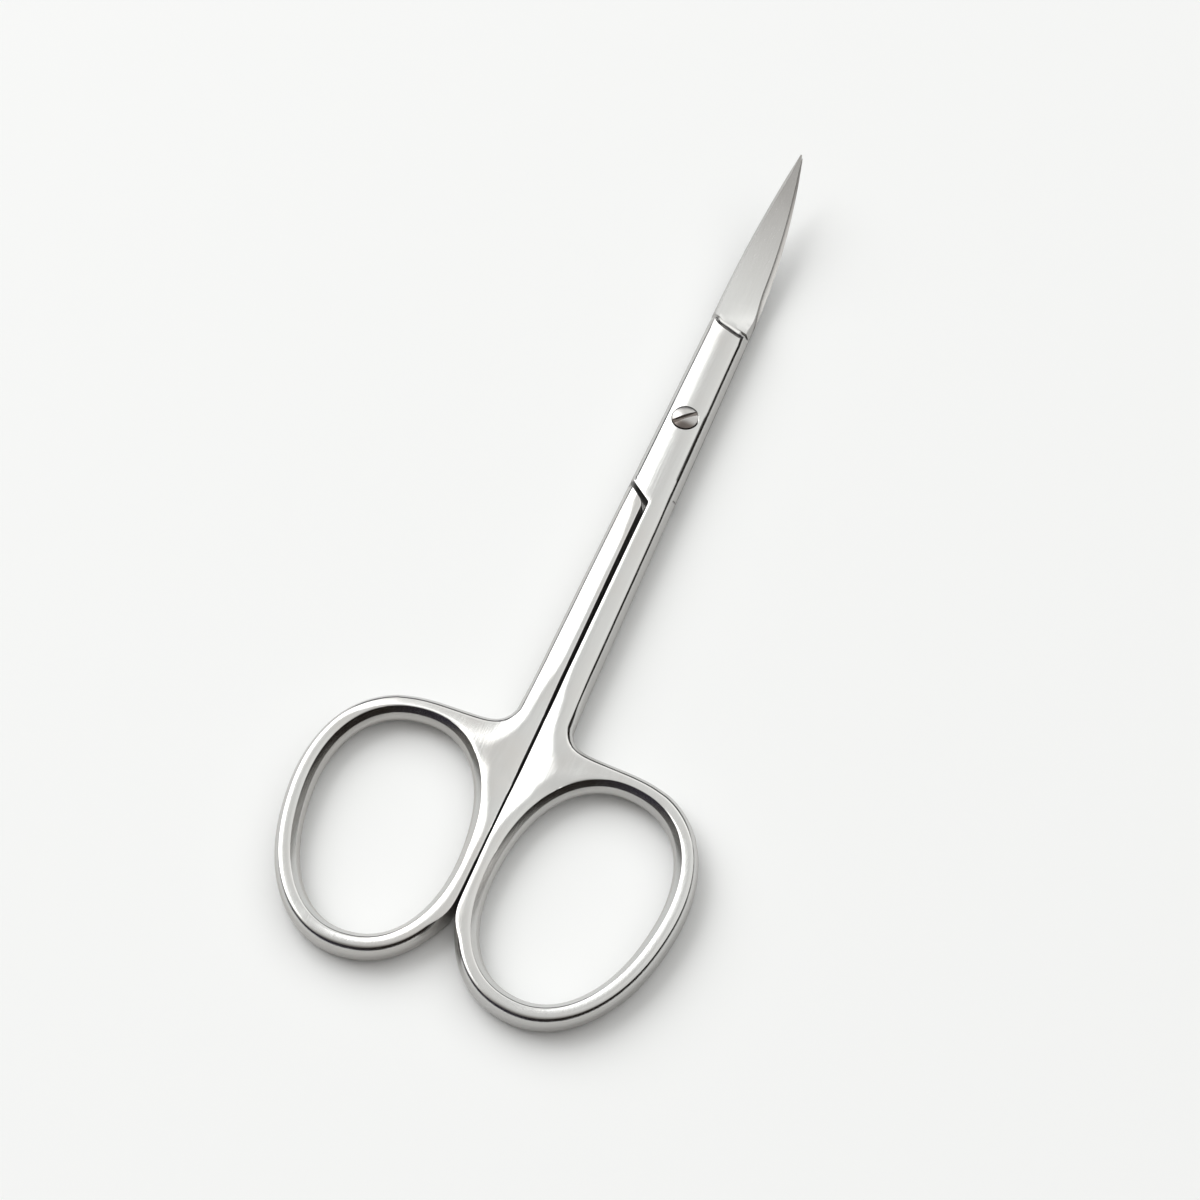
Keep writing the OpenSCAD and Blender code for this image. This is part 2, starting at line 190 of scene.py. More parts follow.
def hole_at(a):
    """A point on the edge of the finger hole, seen from its middle at a degrees."""
    c, s = math.cos(math.radians(a)), math.sin(math.radians(a))
    r = (abs(c) ** BOW_FULL + abs(s) ** BOW_FULL) ** (-1 / BOW_FULL)
    u, v = HOLE_LEN / 2 * r * c, HOLE_W / 2 * r * s * (1 + BOW_EGG * c)
    turn = math.radians(BOW_TURN)
    return Vector((-BOW_X + u * math.cos(turn) + v * math.sin(turn),
                   -BOW_Y - u * math.sin(turn) + v * math.cos(turn)))


def hole_out(a):
    return side_of(hole_at(a + 0.5) - hole_at(a - 0.5))


def limb_at(a):
    """Width of the bow: up to the seam along the web, and smaller where its limb meets the seam."""
    p, n = hole_at(a), hole_out(a)
    room = (-seam_half(p.x) - p.y) / n.y if abs(n.y) > 1e-6 else 1e6
    if a < WEB_END:
        return room
    faces_seam = n.y > 0.3
    return (LIMB_W + room - math.hypot(LIMB_W - room, LIMB_BLEND)) / 2 if faces_seam else LIMB_W


CROTCH_MID = Vector((-CROTCH_X + CROTCH_R, -half_w(-CROTCH_X + CROTCH_R) - CROTCH_R))


def corner_at(a):
    """The corner between bow and shank, 0 on the front of the bow, 90 on the shank."""
    return CROTCH_MID + CROTCH_R * Vector((-math.cos(math.radians(a)), math.sin(math.radians(a))))


def bow_at(a):
    """The outside of the bow, which leads straight to the crotch and half round it at its end."""
    if a <= WEB_FRONT:
        return hole_at(a) + limb_at(a) * hole_out(a)
    way = (a - WEB_FRONT) / (WEB_CROTCH - WEB_FRONT)
    if way < 0.5:
        return hole_at(WEB_FRONT) + limb_at(WEB_FRONT) * hole_out(WEB_FRONT) * (1 - 2 * way) \
            + (corner_at(0) - hole_at(WEB_FRONT)) * 2 * way
    return corner_at((way - 0.5) * 90)


def eased(path, first, last, times):
    """Takes the small kinks out of a path, between two of its points."""
    path = [p.copy() for p in path]
    for _ in range(times):
        path = [
            mix(p, (path[i - 1] + path[i + 1]) / 2, 0.5) if first < i < last else p
            for i, p in enumerate(path)
        ]
    return path


def filleted(points, radii, steps):
    """A run of points with its inner corners rounded."""
    made = [points[0]]
    for a, b, c, r in zip(points, points[1:], points[2:], radii):
        u, v = (a - b).normalized(), (c - b).normalized()
        half = u.angle(v) / 2
        reach = r / math.tan(half)
        mid = b + (u + v).normalized() * r / math.sin(half)
        p, q = b + u * reach - mid, b + v * reach - mid
        turn = p.angle_signed(q)
        for i in range(steps + 1):
            made.append(mid + Matrix.Rotation(-turn * i / steps, 2) @ p)
    return made + [points[-1]]


# Heights
def step_reach(depth):
    """How far the scoop between ride and blade runs back, for a step of this depth."""
    return math.sqrt(WHEEL_R ** 2 - (WHEEL_R - depth) ** 2)


def step_rise(s):
    return WHEEL_R - math.sqrt(WHEEL_R ** 2 - s ** 2)


def bevel_share(x):
    """The part of the blade's width that the bevel along its back takes."""
    w = 2 * half_w(x)
    return min(mix(BACK_BEVEL, TIP_BEVEL, clamp((x - STEP_X) / BEVEL_RUN)), w / 3) / w


def blade_t(x, f):
    """Thickness of the blade, f is 0 at the cutting edge and 1 at the back."""
    back = mix(BACK_T, BACK_TIP_T, clamp((x - STEP_X) / (TIP_X - STEP_X)) ** 0.8)
    edge = EDGE_T + (STEP_EDGE_T - EDGE_T) * math.exp(-max(0, x - STEP_X) / EDGE_RUN)
    w = 2 * half_w(x)
    edge = max(edge, back - FACE_SLOPE * w)
    bevel = bevel_share(x)
    if f > 1 - bevel:
        return back - BEVEL_SLOPE * bevel * w * (f - 1 + bevel) / bevel
    return mix(edge, back, min(1, f / (1 - bevel)))


def lift(x):
    """How far the arc of the blades raises a point."""
    if x < BEND_START:
        return 0.0
    return BEND_RADIUS - math.sqrt(BEND_RADIUS ** 2 - (x - BEND_START) ** 2)


def rounding(kind, x):
    """Rounding of a top face beside one kind of border, at x."""
    along = passed(x, TO_SHANK)
    if kind == "hole":
        return HOLE_EDGE
    if kind == "outer":
        bow = mix_all(BOW_EDGE, CORNER_EDGE, passed(x, TO_CORNER))
        return mix_all(bow, mix_all(SHANK_EDGE, RIDE_EDGE, passed(x, TO_JOINT)), along)
    if kind == "seam":
        return mix_all(mix_all(BOW_SEAM_EDGE, WEB_SEAM_EDGE, passed(x, TO_WEB)), SEAM_EDGE, along)
    return RIDE_EDGE


def edge_drop(kind, x):
    c1, _, c2, _ = rounding(kind, x)
    return c1 + c2


def face_drop(kind, x, d):
    """How far a face lies below its full height, d inside its border."""
    c1, w1, c2, w2 = rounding(kind, x)
    return c1 * max(0, 1 - d / w1) ** 2 + c2 * max(0, 1 - d / w2) ** 2


def cubic_sum(drops):
    """Joins the drops of several borders, led by the largest."""
    return sum(d ** 3 for d in drops) ** (1 / 3)


def ride_side(x, y):
    """1 along the left side of the ride, 0 along seam and shoulder, whose edges are crisp."""
    return passed(y - half_w(x), TO_RIDE_SIDE)


def edge_inset(kind, x, y):
    """Inset of the top edge from the widest line of the wall."""
    if kind == "hole":
        return HOLE_WALL[-1][1]
    if kind == "outer":
        wide = mix(BOW_INSET, SIDE_INSET, passed(x, TO_SHANK))
        return mix(BOW_SEAM_INSET, wide, off_seam(y))
    return mix(SEAM_INSET, SIDE_INSET, ride_side(x, y))


def wall_bend(kind, x):
    if kind == "outer":
        return mix(BOW_BEND, SHANK_BEND, passed(x, TO_SHANK))
    return SHANK_BEND if kind == "side" else SEAM_BEND


def wall_level(k):
    """Height of wall point k, -1 at the lower edge and 1 at the upper edge."""
    return math.sin(math.pi / 2 * (2 * k / WALL - 1))


# Rows across shank, joint and blade
class Row:
    """One row across a half: its two edges, the lower inner edge, and what is built there."""

    def __init__(self, outer, inner, zone, low=None, step=None):
        self.outer, self.inner, self.zone = Vector(outer), Vector(inner), zone
        self.low = Vector(low) if low is not None else None
        self.step = step
        self.full = zone in ("shank", "end")

    def measure(self):
        """Sets insets and drops of both top edges, once the outer edge is in its place."""
        xo, xi = self.outer.x, self.inner.x
        self.insets = edge_inset("outer", xo, self.outer.y), edge_inset("side", xi, self.inner.y)
        blade = self.zone in ("step", "blade")
        past = 0 if self.full else 1 if blade else ride_side(xi, self.inner.y)
        self.drops = edge_drop("outer", xo), mix(edge_drop("seam", xi), edge_drop("side", xi), past)

    def blade_z(self, f):
        return MID + blade_t(mix(self.outer.x, self.inner.x, f), f)

    def ride_z(self, f):
        width = (self.inner - self.outer).length - sum(self.insets)
        return THICK - cubic_sum((face_drop("outer", self.outer.x, f * width),
                                  face_drop("side", self.inner.x, (1 - f) * width)))

    def back(self, f):
        """How far behind the step line this row of the scoop lies."""
        depth = self.ride_z(f) - self.blade_z(f)
        return step_reach(max(LEAST_STEP, depth)) * (1 - self.step)

    def shift(self, f):
        return -self.back(f) if self.zone == "step" else 0.0

    def top_z(self, f):
        """Height of the top face, before the ride, shank and web are crowned."""
        if self.zone == "blade":
            return self.blade_z(f)
        if self.zone == "step":
            depth = self.ride_z(f) - self.blade_z(f)
            return self.blade_z(f) + min(step_rise(self.back(f)), max(0.0, depth))
        return THICK - mix(*self.drops, f)


def strip_at(x):
    """How far a cutting edge stays inside the back of the other blade."""
    if x < STEP_X:
        return 0.0
    return BACK_STRIP * ease((x - STEP_X) / STRIP_RUN) * (half_w(x) / RIDE_HALF) ** 0.8


def across(x, lean):
    """The two edges of a row that leans forward on its inner side."""
    a, b = x - lean * half_w(x), x + lean * half_w(x)
    return (a, -half_w(a) + strip_at(a)), (b, half_w(b))


def shank_rows():
    rows = []
    for i in range(ROOT_ROWS + 1):
        f = i / ROOT_ROWS
        x = mix(-WEB_X, -CROTCH_X + CROTCH_R, f ** 0.8)
        rows.append(Row(corner_at(45 + 45 * f), (x, -seam_half(x)), "shank"))
    for x in np.linspace(SHANK_FROM, SHANK_TO, SHANK_ROWS):
        rows.append(Row((x, -half_w(x)), (x, -seam_half(x)), "shank"))
    return rows


END_X = SHOULDER_X + SHOULDER_GAP * math.sqrt(1 + SHOULDER_SLANT ** 2)
END_OUTER = -END_X + SHOULDER_SLANT * SHANK_HALF
END_INNER = -END_X + SHOULDER_SLANT * seam_half(-END_X)


def end_rows():
    """The end of the shank under the ride, with its corner at the seam rounded."""
    start = Vector((END_FROM, -seam_half(END_FROM)))
    corner = Vector((END_INNER, -seam_half(END_INNER)))
    outer_end = Vector((END_OUTER, -half_w(END_OUTER)))
    path = filleted([start, corner, outer_end], [END_FILLET], 9)[1:-1]
    path = [mix(start, path[0], f) for f in (0.35, 0.7)] + path
    rows = []
    for i, low in enumerate(path):
        f = i / (len(path) - 1)
        xo = mix(END_OUTER_FROM, END_OUTER, f ** 0.7)
        xi = mix(path[0].x, END_INNER, f)
        rows.append(Row((xo, -half_w(xo)), (xi, -seam_half(xi)), "end", low))
    return rows


def joint_rows():
    """From the end of the shank along the shoulder to the ride, and over the ride to the step."""
    end = Vector((END_INNER, -seam_half(END_INNER)))
    foot_x = -SHOULDER_X - SHOULDER_SLANT * seam_half(-SHOULDER_X)
    foot = Vector((foot_x, -seam_half(-SHOULDER_X)))
    head = Vector((-SHOULDER_X + SHOULDER_SLANT * half_w(HEAD_X), half_w(HEAD_X)))
    ride = Vector((RIDE_FROM, half_w(RIDE_FROM)))
    path = filleted([end, foot, head, ride], [FOOT_FILLET, HEAD_FILLET], 6)
    before, after = path[:8], path[8:]
    shoulder = [mix(before[-1], after[0], f) for f in (0.25, 0.5, 0.75)]
    path = before + shoulder + after[:-1] + [mix(after[-2], after[-1], 0.4), after[-1]]
    rows = []
    for i, inner in enumerate(path):
        f = i / (len(path) - 1)
        xo = mix(END_OUTER, RIDE_FROM, f ** 1.3)
        rows.append(Row((xo, -half_w(xo)), inner, "joint"))
    for x in RIDE_ROWS:
        rows.append(Row(*across(x, 0), "joint"))
    for x, share in LEANING_ROWS:
        rows.append(Row(*across(x, STEP_SLANT * share), "joint"))
    return rows


def blade_rows():
    """The scoop, whose rows spread backwards from the step line, then the blade to its tip."""
    rows = []
    for i in range(STEP_ROWS + 1):
        rows.append(Row(*across(STEP_X, STEP_SLANT), "step", step=i / STEP_ROWS))
    for i in range(1, BLADE_ROWS + 1):
        f = i / BLADE_ROWS
        x = mix(STEP_X, TIP_X, 1 - (1 - f) ** 1.2)
        straighter = max(0, 1 - (x - STEP_X) / (TIP_X - STEP_X) * 1.6) * (1 - f)
        rows.append(Row(*across(x, STEP_SLANT * straighter), "blade"))
    return rows


# The vertices of one row
def at(p, z):
    return Vector((p.x, p.y, z))


def slanted(line, out):
    """Outwards along a row, so long that one unit leads about one unit away from the wall."""
    return line / max(0.35, line.dot(out))


def full_wall(row, f, way, bend, low_way):
    """A wall of the shank, over its full thickness. At its end the lower half has its own edge."""
    top_z, points = row.top_z(f), []
    for k in range(WALL + 1):
        level = wall_level(k)
        z = MID + level * (top_z - MID if level > 0 else MID - row.drops[f])
        share = abs(level)
        foot, direction = (row.outer, row.inner)[f], way
        if row.low is not None:
            if f == 1 and k < HALF_WALL:
                foot, direction = row.low, low_way
            if k == HALF_WALL - 1:
                z, share = MID - SHELF, 0
        points.append(at(foot - direction * row.insets[f] * share ** bend, z))
    return points


def upper_wall(row, f, way, bend):
    """A wall of joint or blade, which starts at the mating face; its lower points all lie there."""
    base = MID + (BLADE_GAP if row.zone == "blade" else RIDE_GAP) / 2
    foot = (row.outer, row.inner)[f] + Vector((row.shift(f), 0))
    top_z, points = row.top_z(f), [at(foot, base)] * HALF_WALL
    for k in range(HALF_WALL, WALL + 1):
        z = mix(base, top_z, max(0, wall_level(k)))
        share = clamp((z - MID) / (THICK - row.drops[f] - MID))
        points.append(at(foot - way * row.insets[f] * share ** bend, z))
    return points


def strip_share(j, row):
    """How far across a row top point j lies; on the blade one point follows the bevel's edge."""
    if row.zone not in ("step", "blade"):
        return spread(j / STRIPS)
    flat = 1 - bevel_share((row.outer.x + row.inner.x) / 2)
    if j <= BEVEL_AT:
        return flat * (j / BEVEL_AT) ** 1.5
    return mix(flat, 1, (j - BEVEL_AT) / (STRIPS - BEVEL_AT))


def row_top(row, a, b):
    points = []
    for j in range(1, STRIPS):
        f = strip_share(j, row)
        p = mix(a, b, f)
        x_shift = row.shift(f) - mix(row.shift(0), row.shift(1), f)
        points.append(Vector((p.x + x_shift, p.y, row.top_z(f))))
    return points


def row_low(row, a, b):
    """The lower face of a row: the underside, the flat of the joint, or the hollow of the blade."""
    points = []
    for j in range(1, STRIPS):
        f = 1 - spread(j / STRIPS)
        z = MID + RIDE_GAP / 2
        if row.full:
            z = mix(a.z, b.z, f)
        elif row.zone == "blade":
            z = MID + BLADE_GAP / 2 + HOLLOW * math.sin(math.pi / 2 * f)
        points.append(at(mix(a, b, f), z))
    return points


def strip_loop(row, out, inn):
    """The vertices of one row: outer wall up, top across, inner wall down, lower face back."""
    row.measure()
    line = (row.inner - row.outer).normalized()
    ways = slanted(-line, out), slanted(line, inn)
    in_kind = "side" if row.inner.y > -0.3 and not row.full else "seam"
    bends = wall_bend("outer", row.outer.x), wall_bend(in_kind, row.inner.x)
    if row.full:
        low_inner = row.low if row.low is not None else row.inner
        low_way = slanted((low_inner - row.outer).normalized(), inn)
        outer, inner = (full_wall(row, f, ways[f], bends[f], low_way) for f in (0, 1))
    else:
        outer, inner = (upper_wall(row, f, ways[f], bends[f]) for f in (0, 1))
    top, low = row_top(row, outer[-1], inner[-1]), row_low(row, outer[0], inner[0])
    return outer + top + inner[::-1] + low


# The mesh of one half
def start_chain(bm, points):
    chain = [bm.verts.new(p) for p in points]
    for a, b in zip(chain, chain[1:]):
        bm.edges.new((a, b))
    return chain


def next_chain(bm, chain, points, closed=False):
    """Extrudes a chain of vertices and moves the new one to its place."""
    pairs = list(zip(chain, chain[1:])) + ([(chain[-1], chain[0])] if closed else [])
    made = bmesh.ops.extrude_edge_only(bm, edges=[bm.edges.get(p) for p in pairs])["geom"]
    new = {v for v in made if isinstance(v, bmesh.types.BMVert)}
    after = []
    for v, p in zip(chain, points):
        twin = next(e.other_vert(v) for e in v.link_edges if e.other_vert(v) in new)
        twin.co = p
        after.append(twin)
    return after


def bow_chain(a, rim, drop):
    """Lower face, hole wall and upper face of the bow, seen from the hole's middle at a degrees."""
    p, n = hole_at(a), hole_out(a)
    fall = edge_drop("hole", 0)
    hole_edge = p + n * edge_inset("hole", 0, 0)
    low = [at(mix(rim, hole_edge, spread(j / TOP)), mix(drop, fall, spread(j / TOP)))
           for j in range(TOP)]
    wall = []
    for k in range(WALL + 1):
        rise, lean = HOLE_WALL[abs(k - HALF_WALL)]
        rise *= (MID - fall) / HOLE_WALL[-1][0]
        wall.append(at(p + n * lean, MID + (rise if k > HALF_WALL else -rise)))
    top = [at(mix(hole_edge, rim, spread(j / TOP)), THICK - mix(fall, drop, spread(j / TOP)))
           for j in range(1, TOP + 1)]
    return low + wall + top


def rim_drop(p):
    """Drop of the bow's outer edge, less where it lies along the seam."""
    return mix(edge_drop("outer", p.x), edge_drop("seam", p.x), 1 - off_seam(p.y))


class HalfBuilder:
    """Builds a half with crowned faces, before its blade is bent upwards."""

    def __init__(self):
        self.bm = bmesh.new()
        # borders and faces of the upper side (True) and the lower side (False), as chains
        self.borders = {True: [], False: []}
        self.faces = {True: [], False: []}
        self.lay_out()
        self.sweep_bow()
        self.wall_bow()
        self.sweep_strip()
        self.close_tip()
        crown_faces(self.faces, self.borders, self.side_shares)
        bmesh.ops.remove_doubles(self.bm, verts=self.bm.verts, dist=MERGE)
        bmesh.ops.dissolve_degenerate(self.bm, edges=self.bm.edges, dist=SLIVER)
        bmesh.ops.recalc_face_normals(self.bm, faces=self.bm.faces)

    def note(self, kind, up, chain):
        self.borders[up].append((kind, chain))

    def lay_out(self):
        """The plan: the outside of the bow, which runs on along the rows of the strip."""
        limb = list(np.linspace(WEB_SEAM, WEB_FRONT, LIMB_STEPS + 1))
        front = list(np.linspace(WEB_FRONT, WEB_CROTCH, FRONT_STEPS + 1))
        self.angles = limb + front[1:]
        self.rows = shank_rows() + end_rows() + joint_rows() + blade_rows()
        self.n_bow = n = len(self.angles) - 1
        path = [bow_at(a) for a in self.angles] + [r.outer for r in self.rows[1:]]
        path = eased(path, n - FRONT_STEPS - 8, n + 8, 14)
        for row, p in zip(self.rows, path[n:]):
            row.outer = p
        self.bow_path = path[:n + 1]
        inner_path = [r.inner for r in self.rows]
        self.bow_out = [path_out(path, i) for i in range(n + 1)]
        self.bow_out[0] = -path_out([path[1]] + inner_path, 1)
        self.drops = [rim_drop(p) for p in self.bow_path]
        self.outs = [path_out(path, n + i) for i in range(len(self.rows))]
        self.ins = [-path_out(inner_path, i) for i in range(len(self.rows))]

    def sweep_bow(self):
        """Sweeps a chain round the finger hole: along the bow's limb, then across the web."""
        edge_top = [p - n * edge_inset("outer", p.x, p.y)
                    for p, n in zip(self.bow_path, self.bow_out)]
        stations = list(zip(self.angles, edge_top, self.drops))
        for i in range(1, STRIPS):
            f = spread(i / STRIPS)
            stations.append((mix(WEB_CROTCH, WEB_SEAM + 360, f), mix(edge_top[-1], edge_top[0], f),
                             mix(self.drops[-1], self.drops[0], f)))
        chains = [start_chain(self.bm, bow_chain(*stations[0]))]
        for station in stations[1:]:
            chains.append(next_chain(self.bm, chains[-1], bow_chain(*station)))
        closing = next_chain(self.bm, chains[-1], bow_chain(*stations[0]))
        bmesh.ops.weld_verts(self.bm, targetmap=dict(zip(closing, chains[0])))
        self.web_chains = chains[self.n_bow + 1:]
        self.limb_chains = chains[:self.n_bow + 1]
        chains.append(chains[0])
        self.faces[False] += [c[:TOP + 1] for c in chains]
        self.faces[True] += [c[-TOP - 1:] for c in chains]
        self.note("hole", False, [c[TOP] for c in chains])
        self.note("hole", True, [c[-TOP - 1] for c in chains])
        self.note("outer", False, [c[0] for c in self.limb_chains])
        self.note("outer", True, [c[-1] for c in self.limb_chains])

    def wall_bow(self):
        """The outside wall of the bow, from its upper edge down."""
        wall = [c[-1] for c in self.limb_chains]
        self.walls = {WALL: wall}
        for k in range(WALL - 1, -1, -1):
            level, points = wall_level(k), []
            for p, n, drop in zip(self.bow_path, self.bow_out, self.drops):
                inset = edge_inset("outer", p.x, p.y) * abs(level) ** wall_bend("outer", p.x)
                points.append(at(p - n * inset, MID + level * (THICK - drop - MID)))
            self.walls[k] = wall = next_chain(self.bm, wall, points)
        low = [c[0] for c in self.limb_chains]
        bmesh.ops.weld_verts(self.bm, targetmap=dict(zip(wall, low)))
        self.walls[0] = low

    def sweep_strip(self):
        """Shank, joint and blade, swept as one closed loop of vertices from the bow to the tip."""
        in_at, low_at = WALL + STRIPS, 2 * WALL + STRIPS
        loop = [self.walls[k][self.n_bow] for k in range(WALL + 1)] \
            + [c[-1] for c in self.web_chains] \
            + [self.walls[k][0] for k in range(WALL, -1, -1)] \
            + [c[0] for c in reversed(self.web_chains)]
        edges = {side: [] for side in ("low_out", "low_in", "top_out", "top_in")}
        strips = {True: [], False: []}
        for row, out, inn in zip(self.rows, self.outs, self.ins):
            if row is not self.rows[0]:
                loop = next_chain(self.bm, loop, strip_loop(row, out, inn), closed=True)
            if row.full:
                strips[False].append((loop[low_at:] + [loop[0]])[::-1])
                edges["low_out"].append(loop[0])
                edges["low_in"].append(loop[low_at])
            if row.full or row.zone == "joint":
                strips[True].append(loop[WALL:in_at + 1])
                edges["top_out"].append(loop[WALL])
                edges["top_in"].append(loop[in_at])
        self.note("outer", False, edges["low_out"])
        self.note("seam", False, edges["low_in"])
        self.note("outer", True, edges["top_out"])
        self.note("side", True, edges["top_in"])
        self.side_shares = {v: ride_side(r.inner.x, r.inner.y)
                            for v, r in zip(edges["top_in"], self.rows) if r.zone == "joint"}
        for up in (True, False):
            self.faces[up] += strips[up]
        self.last_loop = loop

    def close_tip(self):
        """Rounds off the tip beyond the last loop."""
        loop = last = self.last_loop
        middle = sum((v.co for v in loop), Vector()) / len(loop)
        for f in (0.5, 0.85):
            w = math.sqrt(1 - f * f)
            points = []
            for v in loop:
                y, z = mix(middle.y, v.co.y, w), mix(middle.z, v.co.z, w)
                points.append(Vector((v.co.x + TIP_ROUND * f, y, z)))
            last = next_chain(self.bm, last, points, closed=True)
        bmesh.ops.pointmerge(self.bm, verts=last, merge_co=middle + Vector((TIP_ROUND, 0, 0)))


def border_rounding(kind, up, v, side_shares):
    """Rounding beside one border vertex, with the passages from one kind of border to the next."""
    x, y = v.co.x, v.co.y
    fall = rounding(kind, x)
    if kind == "hole":
        web = passed(-abs(y), TO_MIDDLE) * passed(x, TO_HOLE_WEB)
        return mix_all(fall[:2], WEB_HOLE_CROWN, web) + fall[2:]
    if kind == "side":
        return mix_all(rounding("seam", x), fall, side_shares.get(v, 0))
    if kind == "outer":
        if not up:
            reach = mix(fall[1], LOW_JOINT_REACH, passed(x, TO_LOW_JOINT))
            fall = fall[:1] + (reach,) + fall[2:]
        if x < -CROTCH_X:
            fall = mix_all(fall, rounding("seam", x), 1 - off_seam(y))
    return fall


def crown_faces(faces, borders, side_shares):
    """Lowers the faces towards their edges, so that they are crowned like forged steel."""
    for up in (True, False):
        ends, fall, kinds = [], [], []
        for kind, chain in borders[up]:
            for a, b in zip(chain, chain[1:]):
                ends.append((a.co.x, a.co.y, b.co.x, b.co.y))
                fall.append(border_rounding(kind, up, a, side_shares))
                kinds.append(kind)
        ends, fall, kinds = np.array(ends), np.array(fall), np.array(kinds)
        groups = [np.flatnonzero(kinds == k) for k in sorted(set(kinds))]
        a, ab = ends[:, :2], ends[:, 2:] - ends[:, :2]
        length = np.maximum((ab ** 2).sum(1), 1e-12)
        edge_verts = {v for _, chain in borders[up] for v in chain}
        for v in (v for chain in faces[up] for v in chain if v not in edge_verts):
            p = np.array((v.co.x, v.co.y)) - a
            t = np.clip((p * ab).sum(1) / length, 0, 1)
            d = np.sqrt(((p - ab * t[:, None]) ** 2).sum(1))
            drop = (fall[:, 0] * np.maximum(0, 1 - d / fall[:, 1]) ** 2
                    + fall[:, 2] * np.maximum(0, 1 - d / fall[:, 3]) ** 2)
            drop = cubic_sum(drop[g].max() for g in groups)
            v.co.z = THICK - drop if up else drop


# Objects
def link(name, data):
    obj = bpy.data.objects.new(name, data)
    bpy.context.scene.collection.objects.link(obj)
    return obj


def to_object(bm, name):
    """Turns a mesh in millimetres into an object in metres."""
    bmesh.ops.scale(bm, vec=(MM, MM, MM), verts=bm.verts)
    mesh = bpy.data.meshes.new(name)
    bm.to_mesh(mesh)
    bm.free()
    return link(name, mesh)


def smooth_shade(obj, angle):
    obj.data.shade_smooth()
    obj.data.set_sharp_from_angle(angle=math.radians(angle))


def cut(obj, cutter):
    """Takes a cutter out of an object and removes the cutter."""
    mod = obj.modifiers.new("cut", "BOOLEAN")
    mod.operation, mod.solver, mod.object = "DIFFERENCE", "MANIFOLD", cutter
    graph = bpy.context.evaluated_depsgraph_get()
    mesh = bpy.data.meshes.new_from_object(obj.evaluated_get(graph))
    obj.modifiers.clear()
    old = obj.data
    mesh.materials.clear()
    mesh.polygons.foreach_set("material_index", [0] * len(mesh.polygons))
    obj.data = mesh
    mesh.name = obj.name
    bpy.data.meshes.remove(old)
    bpy.data.objects.remove(cutter)


def cylinder(radius, low):
    """A cutter along the pivot, from a height to above everything."""
    high = THICK + 1
    bm = bmesh.new()
    bmesh.ops.create_cone(bm, cap_ends=True, segments=ROUND_SIDES, radius1=radius, radius2=radius,
                          depth=high - low)
    bmesh.ops.translate(bm, vec=(0, 0, (high + low) / 2), verts=bm.verts)
    return to_object(bm, "cutter")


# a normal that leans less than this is a wall's, and how much painted shade the mating faces get,
# with a duller finish on the blade's
FLAT_UP, WALL_RUN = 0.6, 0.2
BLADE_MATING_SHADE, JOINT_MATING_SHADE = 0.8, 0.6
SLIT_REAR, SLIT_FRONT = -13.5, -8.6


def wall_shade_and_dull(v, way):
    """1 on the walls, and most of it on the mating faces of the blades: painted shade and a duller
    finish.
    """
    if v.normal.z * way < -FLAT_UP and v.co.x / MM > STEP_X:
        return BLADE_MATING_SHADE
    return ease((FLAT_UP - abs(v.normal.z)) / WALL_RUN)


def joint_shade(v):
    """Painted shade: 1 on the walls of the slit at the shoulder, less on the flats inside the joint,
    else 0.
    """
    x, up = v.co.x / MM, abs(v.normal.z)
    if x < STEP_X and abs(v.co.z / MM - MID) < 0.2 and up > FLAT_UP:
        return JOINT_MATING_SHADE
    in_slit = SLIT_REAR < x < SLIT_FRONT and abs(v.normal.x) > 0.3 and up < FLAT_UP
    return 1.0 if in_slit else 0.0


def ground_blade_and_tip_shade(v, way):
    """Rises from the step to 1 at the tip: marks the ground blade and its painted shade, darker
    towards the tip.
    """
    past_step = v.co.x / MM - STEP_SLANT * way * v.co.y / MM - STEP_X + 0.3
    return min(1, max(0, past_step / (TIP_X - STEP_X)))


def mark_finish_and_shade(obj, way):
    """Writes painted shade and finish marks to attributes. Way is -1 on the half that is turned
    over.
    """
    mesh = obj.data
    marks = {
        # side and inner carry painted shade, and ground carries the ground blade and its painted
        # shade towards the tip
        "side": [wall_shade_and_dull(v, way) for v in mesh.vertices],
        "inner": [joint_shade(v) for v in mesh.vertices],
        "ground": [ground_blade_and_tip_shade(v, way) for v in mesh.vertices],
    }
    for name, values in marks.items():
        mesh.attributes.new(name, "FLOAT", "POINT").data.foreach_set("value", values)


def half(name, turned):
    bm = HalfBuilder().bm
    if turned:
        over = Matrix.Rotation(math.pi, 3, "X")
        bmesh.ops.rotate(bm, cent=(0, 0, MID), matrix=over, verts=bm.verts)
    for v in bm.verts:
        v.co.z += lift(v.co.x)
    obj = to_object(bm, name)
    if turned:
        cut(obj, cylinder(PIN_D / 2 + THREAD_PLAY, -1))
    else:
        cut(obj, cylinder(RECESS_D / 2, THICK - RECESS_DEPTH))
        cut(obj, cylinder(PIN_D / 2 + PIN_PLAY, -1))
    smooth_shade(obj, HALF_SHARP)
    mark_finish_and_shade(obj, -1 if turned else 1)
    return obj


def screw_outline():
    """Half the section of the screw: pin, seat, head with its broken edges, and dome."""
    rim_z, seat_z = THICK + RIM_RISE, THICK - RECESS_DEPTH + SEAT_PLAY
    pin, head, dome = PIN_D / 2, HEAD_D / 2, HEAD_D / 2 - RIM_W
    outline = [
        (0, 0), (pin - PIN_BREAK, 0), (pin, PIN_BREAK), (pin, seat_z),
        (head - SEAT_BREAK, seat_z), (head, seat_z + SEAT_BREAK),
        (head, rim_z - RIM_H), (head - RIM_W / 3, rim_z - 0.3 * RIM_H), (dome, rim_z),
    ]
    dome_r = (dome ** 2 + DOME_H ** 2) / (2 * DOME_H)
    for i in range(1, DOME_RINGS + 1):
        r = dome * (1 - i / DOME_RINGS)
        outline.append((r, rim_z + DOME_H - dome_r + math.sqrt(dome_r ** 2 - r ** 2)))
    return outline


